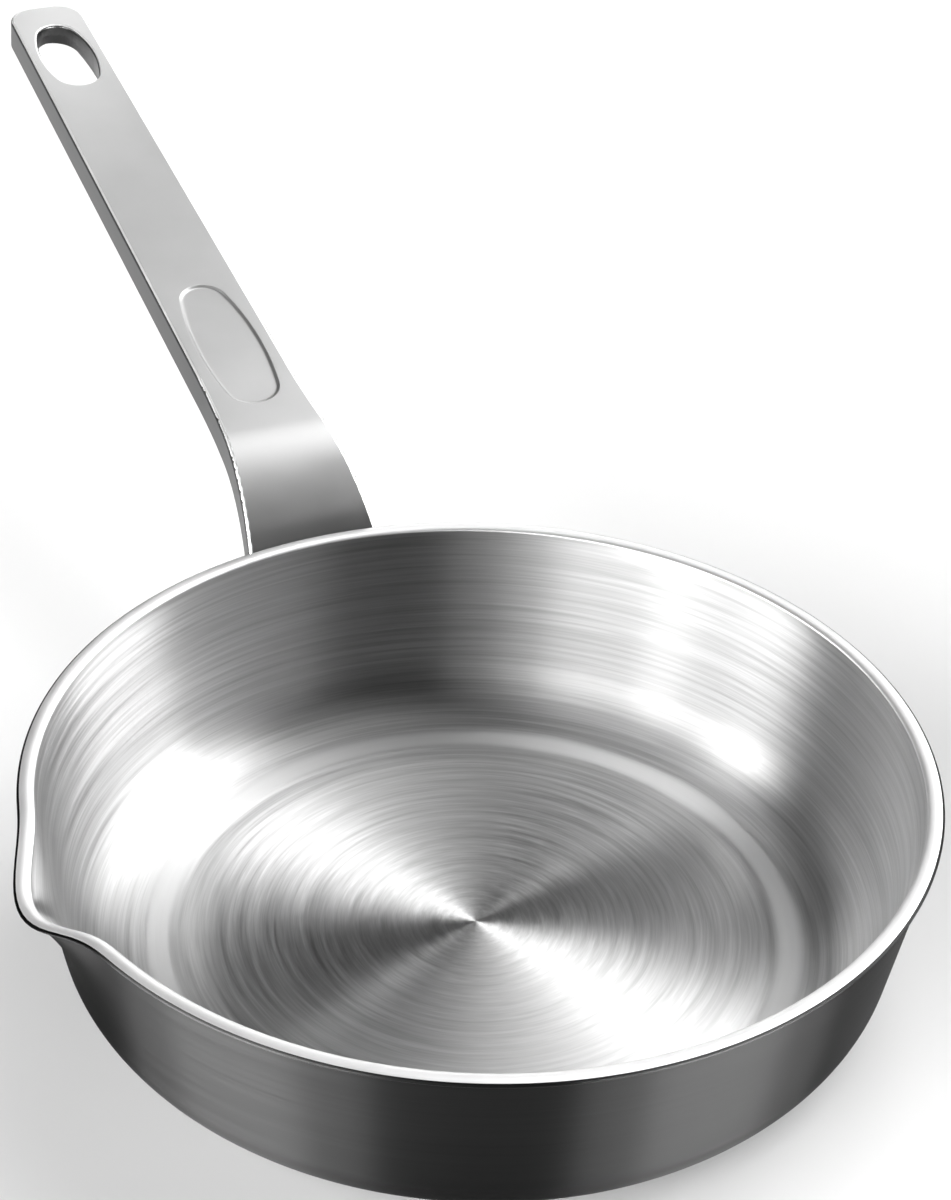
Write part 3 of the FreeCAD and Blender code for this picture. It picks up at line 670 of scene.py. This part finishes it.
@dataclass
class Handle:
    """The cast handle with its soft-lipped thumb recess, and the weld spots that hold it."""

    nodes: Mapping[str, bpy.types.Object]
    # Distance from the pan's axis and height at which the line of the grip's top face starts.
    grip_start: Point = (100.0, 58.5)
    grip_rise: float = 11.3
    tip_out: float = 320.0
    # Ends of the recess as distances from the tip, and heights over the top face between which a face of
    # the solid's plain pocket lies.
    recess_from: float = 137.0
    recess_to: float = 187.5
    recess_half_width: float = 9.5
    recess_heights: Point = (-1.2, -0.01)
    # Share by which the recess is less deep in the middle of its length.
    recess_crown: float = 0.3
    # Section of the recess from its lip inwards: distance inside the outline and depth below the top face.
    recess_section: tuple[Point, ...] = ((0.08, 0.01), (0.2, 0.06), (0.33, 0.15), (0.46, 0.26), (0.58, 0.36),
                                         (0.72, 0.44), (0.95, 0.49), (1.3, 0.5))
    # Rings of the recess floor, as shares of the way from its middle to the section's end.
    floor_shares: tuple[float, ...] = (0.85, 0.7, 0.55, 0.4, 0.25, 0.1)
    # Edges of the outline longer than this are cut so many times.
    outline_step: float = 1.5
    outline_cuts: int = 3
    # Sines of the lean at which the rounded edge and then the flank take over from the top face. Nearer to
    # the tip than the tip zone, the lean is measured all round, so that the hole and the end count too.
    edge_lean: float = 0.1
    flank_lean: float = 0.65
    tip_zone: float = 45.0
    weld_count: int = 6
    # Soft grey gradient along the grip, bright at the tip and at the bend.
    top_finish: SatinSteel = SatinSteel("satin_cast_stainless", "#b0b0b0", "#acacac", 0.4)
    # Sides and hole wall in a dark tone that is painted shade, which set the grip off from the pale floor that
    # they mirror.
    shaded_flank_finish: SatinSteel = SatinSteel("shade_painted_cast_stainless", "#464646", "#404040", 0.34)
    # The thin bright line along the rounded top edges, a painted highlight.
    highlight_edge_finish: SatinSteel = SatinSteel("highlight_painted_edge_stainless", "#ececec", "#e4e4e4", 0.5)
    # Heat-tinted grey of the spots behind the root pad.
    weld_finish: SatinSteel = SatinSteel("resistance_weld_steel", "#8c8784", "#6f6b69", 0.5)

    def build(self) -> list[bpy.types.Object]:
        """Makes the handle from the merged solid and dresses the weld spots.

        Returns:
            The new pieces.
        """
        weld = self.weld_finish.make()
        for number in range(1, self.weld_count + 1):
            dress(self.nodes[f"weld_spot_{number}"], weld)
        mesh = self.nodes["handle"].data.copy()
        mesh.name = "cast_handle"
        work = bmesh.new()
        work.from_mesh(mesh)
        bmesh.ops.remove_doubles(work, verts=work.verts, dist=MERGE_DISTANCE)
        self.soften_recess(work)
        work.to_mesh(mesh)
        work.free()
        mesh.shade_smooth()
        mesh.set_sharp_from_angle(angle=CREASE_ANGLE)
        piece = new_piece("cast_handle", mesh)
        dress(piece, self.top_finish.make())
        mesh.materials.append(self.shaded_flank_finish.make())
        mesh.materials.append(self.highlight_edge_finish.make())
        # Flanks take painted shade and the rounded top edges a painted highlight.
        for face in mesh.polygons:
            face.material_index = self.zone(face).value
        weighted = piece.modifiers.new("face_weighted_normals", "WEIGHTED_NORMAL")
        weighted.keep_sharp = True
        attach(piece, BODY)
        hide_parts("handle")
        return [piece]

    @property
    def along(self) -> Vector:
        """Direction of the grip, from the pan to the tip."""
        rise = math.radians(self.grip_rise)
        return Vector((0.0, math.cos(rise), math.sin(rise)))

    @property
    def upward(self) -> Vector:
        """Direction square to the grip's top face."""
        rise = math.radians(self.grip_rise)
        return Vector((0.0, -math.sin(rise), math.cos(rise)))

    @property
    def tip(self) -> Vector:
        """Middle of the top face's far end, in millimetres."""
        out, height = self.grip_start
        slope = math.tan(math.radians(self.grip_rise))
        return Vector((0.0, self.tip_out, height + (self.tip_out - out) * slope))

    def grip_place(self, point: Vector) -> Place:
        """A point's distance from the tip, offset to the side and height over the top face, in millimetres."""
        away = point * 1000.0 - self.tip
        return -away.dot(self.along), away.x, away.dot(self.upward)

    def by_recess(self, back: float, side: float) -> bool:
        """Whether a place on the grip lies within the length and width of the thumb recess."""
        return self.recess_from < back < self.recess_to and abs(side) < self.recess_half_width

    def in_recess(self, face: bmesh.types.BMFace) -> bool:
        """Whether a face belongs to the wall or the floor of the solid's thumb recess."""
        back, side, height = self.grip_place(face.calc_center_median())
        lowest, highest = self.recess_heights
        return self.by_recess(back, side) and lowest < height < highest

    def zone(self, face: bpy.types.MeshPolygon) -> Zone:
        """Tells how a face is ground, and so which faces get painted shade and which a painted highlight.

        Args:
            face: a face of the finished handle.

        Returns:
            The zone that the face belongs to.
        """
        back, side, _ = self.grip_place(face.center)
        normal = face.normal
        if self.by_recess(back, side):
            return Zone.TOP
        lean = normal.cross(self.upward).length if back < self.tip_zone else abs(normal.x)
        if lean > self.flank_lean:
            return Zone.FLANK
        return Zone.EDGE if lean > self.edge_lean and normal.z > normal.y else Zone.TOP

    def soften_recess(self, work: bmesh.types.BMesh) -> None:
        """Replaces the solid's plain pocket by a shallow, soft-lipped one inside the same outline.

        Args:
            work: the merged mesh of the handle.
        """
        old = [face for face in work.faces if self.in_recess(face)]
        edges = {edge for face in old for edge in face.edges}
        rim = [edge for edge in edges if any(not self.in_recess(face) for face in edge.link_faces)]
        bmesh.ops.delete(work, geom=old, context="FACES")
        rim = [edge for edge in rim if edge.is_valid]
        long_edges = [edge for edge in rim if edge.calc_length() > mm(self.outline_step)]
        bmesh.ops.subdivide_edges(work, edges=long_edges, cuts=self.outline_cuts)
        outline = self.outline(work)
        rings = [outline]
        for inset, depth in self.recess_section:
            rings.append([self.sunk(work, spot, depth) for spot in self.inner_spots(outline, inset)])
        last_inset, floor_depth = self.recess_section[-1]
        edge = self.inner_spots(outline, last_inset)
        middle = sum(edge, Vector()) / len(edge)
        for share in self.floor_shares:
            spots = [middle + (spot - middle) * share for spot in edge]
            rings.append([self.sunk(work, spot, floor_depth) for spot in spots])
        for outer, inner in zip(rings, rings[1:]):
            for index in range(len(outer)):
                after = (index + 1) % len(outer)
                work.faces.new((outer[index], outer[after], inner[after], inner[index]))
        work.faces.new(rings[-1])

    def outline(self, work: bmesh.types.BMesh) -> list[bmesh.types.BMVert]:
        """The open edge of the recess in order, seen anticlockwise from above.

        Args:
            work: the handle's mesh with the recess faces taken out.

        Returns:
            The vertices round the opening.
        """
        loose = [edge for edge in work.edges if edge.is_boundary]
        start = loose[0].verts[0]
        ordered = [start]
        edge = loose[0]
        vert = edge.other_vert(start)
        while vert is not start:
            ordered.append(vert)
            edge = next(other for other in vert.link_edges if other.is_boundary and other is not edge)
            vert = edge.other_vert(vert)
        middle = sum((item.co for item in ordered), Vector()) / len(ordered)
        area = sum((a.co - middle).cross(b.co - middle).dot(self.upward)
                   for a, b in zip(ordered, ordered[1:] + ordered[:1]))
        return ordered if area > 0 else ordered[::-1]

    def inner_spots(self, outline: list[bmesh.types.BMVert], inset: float) -> list[Vector]:
        """Points on the top face inside the recess's outline.

        Args:
            outline: the recess's outline.
            inset: distance inside it in millimetres.

        Returns:
            One point for each vertex of the outline.
        """
        spots = []
        for index, vert in enumerate(outline):
            before = outline[index - 1].co
            after = outline[(index + 1) % len(outline)].co
            inward = self.upward.cross(after - before).normalized()
            spots.append(vert.co + inward * mm(inset))
        return spots

    def sunk(self, work: bmesh.types.BMesh, spot: Vector, depth: float) -> bmesh.types.BMVert:
        """A vertex below the top face, less deep near the middle of the recess's length.

        Args:
            work: the handle's mesh.
            spot: the point on the top face above it.
            depth: depth at the ends of the recess in millimetres.

        Returns:
            The new vertex.
        """
        half = (self.recess_to - self.recess_from) / 2
        away = (self.grip_place(spot)[0] - self.recess_from) / half - 1.0
        crown = self.recess_crown * (1.0 - away * away)
        return work.verts.new(spot - self.upward * mm(depth * (1.0 - crown)))


# Studio

def direction(azimuth: float, elevation: float) -> Vector:
    """Turns a bearing in the photograph into the part's frame.

    Args:
        azimuth: degrees anticlockwise from the picture's right, so that 90 is straight away from the camera.
        elevation: degrees above the floor.

    Returns:
        The direction, of length one.
    """
    turn = math.radians(azimuth + CAMERA_AZIMUTH - 90.0)
    lift = math.radians(elevation)
    return Vector((math.cos(turn) * math.cos(lift), math.sin(turn) * math.cos(lift), math.sin(lift)))


def hang(lamp: bpy.types.Light, place: Vector, back: Vector) -> bpy.types.Object:
    """Puts a lamp in the scene.

    Args:
        lamp: the lamp, whose name its object takes.
        place: where it hangs.
        back: direction that its back faces. It shines the other way.

    Returns:
        The lamp's object.
    """
    item = bpy.data.objects.new(lamp.name, lamp)
    item.location = place
    item.rotation_euler = back.to_track_quat("Z", "Y").to_euler()
    bpy.context.scene.collection.objects.link(item)
    return item


@dataclass(frozen=True)
class Softbox:
    """A round soft lamp far away, so that it lights the whole floor evenly."""

    name: str
    azimuth: float
    elevation: float
    breadth: float
    strength: float

    def build(self) -> None:
        """Adds the lamp, aimed at the pan."""
        lamp = bpy.data.lights.new(self.name, "SUN")
        lamp.energy = self.strength
        lamp.angle = math.radians(self.breadth)
        hang(lamp, Vector(), direction(self.azimuth, self.elevation))


@dataclass(frozen=True)
class CardLamp:
    """A rectangular lamp near one spot of the pan, out of the camera's sight."""

    name: str
    spot: Place
    azimuth: float
    elevation: float
    away: float
    size: Point
    power: float

    def build(self) -> None:
        """Adds the lamp, aimed at its spot."""
        lamp = bpy.data.lights.new(self.name, "AREA")
        lamp.shape = "RECTANGLE"
        lamp.size, lamp.size_y = self.size
        lamp.energy = self.power
        back = direction(self.azimuth, self.elevation)
        item = hang(lamp, Vector(self.spot) + back * self.away, back)
        item.visible_camera = False


@dataclass
class Studio:
    """White floor, soft lamps in a dim room, and the photograph's camera."""

    # Each lamp lights the brushed rings along one line through the axis. High lamps show on the cooking
    # floor, and low ones on the wall that faces them. The order is azimuth, elevation, breadth, strength.
    softboxes: tuple[Softbox, ...] = (
        Softbox("softbox_right", 30.0, 43.0, 36.0, 1.2),
        Softbox("softbox_right_low", 18.0, 16.0, 34.0, 1.75),
        Softbox("softbox_back_right", 64.0, 50.0, 22.0, 0.48),
        Softbox("softbox_top", 66.0, 62.0, 28.0, 0.46),
        Softbox("softbox_back_right_low", 49.0, 26.0, 20.0, 0.5),
        Softbox("softbox_back_low", 90.0, 18.0, 18.0, 0.4),
        Softbox("softbox_left", 184.0, 28.0, 20.0, 0.45),
        Softbox("softbox_left_high", 188.0, 37.0, 18.0, 0.28),
        Softbox("softbox_left_low", 204.0, 13.0, 44.0, 2.5),
        Softbox("softbox_front_left", 234.0, 17.0, 40.0, 1.1),
        Softbox("softbox_front", 243.0, 16.0, 46.0, 0.7),
        Softbox("softbox_front_wide", 243.0, 16.0, 74.0, 0.6),
    )
    # Strips on the floor stay under the level of the rim, so that they light the outside alone. Each soft
    # band of light there comes from a narrow strip with a wide one round it. The last card lights the tip
    # of the handle. The order is spot, azimuth, elevation, distance, size, power.
    cards: tuple[CardLamp, ...] = (
        CardLamp("floor_strip_left", (0.0, 0.0, 0.02), 219.0, 0.0, 1.0, (0.55, 0.04), 19.0),
        CardLamp("floor_strip_left_wide", (0.0, 0.0, 0.02), 219.0, 0.0, 1.0, (1.15, 0.04), 32.0),
        CardLamp("floor_strip_right", (0.0, 0.0, 0.02), -37.0, 0.0, 1.0, (0.55, 0.04), 19.0),
        CardLamp("floor_strip_right_wide", (0.0, 0.0, 0.02), -37.0, 0.0, 1.0, (1.15, 0.04), 32.0),
        CardLamp("tip_card", (0.0, 0.31, 0.1), 95.0, 43.0, 0.2, (0.05, 0.05), 0.03),
    )
    # Plain pale paper that keeps the pan's soft shadow.
    floor_colour: str = "#e6e6e6"
    floor_roughness: float = 0.9
    floor_shine: float = 0.1
    floor_half: float = 12.0
    floor_gap: float = 0.0002
    sky_level: float = 0.02
    lens: float = 82.88
    sensor: float = 36.0
    sight: float = 100.0
    camera_place: Place = (-0.2081, -0.4338, 0.4082)
    camera_dip: float = 33.441
    camera_roll: float = -2.133

    def build(self) -> None:
        """Sets the floor, the lamps, the sky and the camera."""
        for lamp in (*self.softboxes, *self.cards):
            lamp.build()
        self.floor()
        self.sky()
        self.camera()

    def floor(self) -> None:
        """Lays the floor just under the base."""
        half = self.floor_half
        corners = [(-half, -half), (half, -half), (half, half), (-half, half)]
        mesh = bpy.data.meshes.new("studio_floor")
        mesh.from_pydata([(x, y, -self.floor_gap) for x, y in corners], [], [(0, 1, 2, 3)])
        floor = new_piece("studio_floor", mesh)
        material = blank_material("white_paper_floor")
        tree = material.node_tree
        paper = add_node(tree, "ShaderNodeBsdfPrincipled", {
            "Base Color": linear(self.floor_colour), "Roughness": self.floor_roughness,
            "Specular IOR Level": self.floor_shine})
        add_node(tree, "ShaderNodeOutputMaterial", {"Surface": paper.outputs["BSDF"]})
        dress(floor, material)

    def sky(self) -> None:
        """Makes the studio's dim walls and ceiling."""
        world = bpy.data.worlds.new("studio_walls")
        bpy.context.scene.world = world
        world.use_nodes = True
        tree = world.node_tree
        tree.nodes.clear()
        light = add_node(tree, "ShaderNodeBackground", {
            "Color": linear("#ffffff"), "Strength": self.sky_level})
        add_node(tree, "ShaderNodeOutputWorld", {"Surface": light.outputs["Background"]})

    def camera(self) -> None:
        """Puts the camera where the photograph was taken from."""
        data = bpy.data.cameras.new("photograph_camera")
        data.sensor_width = self.sensor
        data.lens = self.lens
        data.clip_end = self.sight
        roll = math.radians(self.camera_roll)
        forward = direction(90.0, -self.camera_dip)
        level = direction(0.0, 0.0)
        down = forward.cross(level)
        right = level * math.cos(roll) + down * math.sin(roll)
        up = level * math.sin(roll) - down * math.cos(roll)
        place = Matrix.Translation(self.camera_place)
        axes = Matrix((right, up, -forward)).transposed().to_4x4()
        item = bpy.data.objects.new("photograph_camera", data)
        item.matrix_world = place @ axes
        bpy.context.scene.collection.objects.link(item)
        bpy.context.scene.camera = item


def report(pieces: Iterable[bpy.types.Object]) -> None:
    """Logs each new piece with its number of faces."""
    for piece in pieces:
        LOG.info("%s: %d faces", piece.name, len(piece.data.polygons))


def main() -> None:
    """Loads the solids, dresses them and sets the studio."""
    logging.basicConfig(level=logging.INFO, format="%(name)s: %(message)s")
    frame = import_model()
    report(Bowl(frame["nodes"]).build())
    report(Handle(frame["nodes"]).build())
    Studio().build()
    bpy.context.scene.view_settings.view_transform = "Standard"


if __name__ == "__main__":
    main()
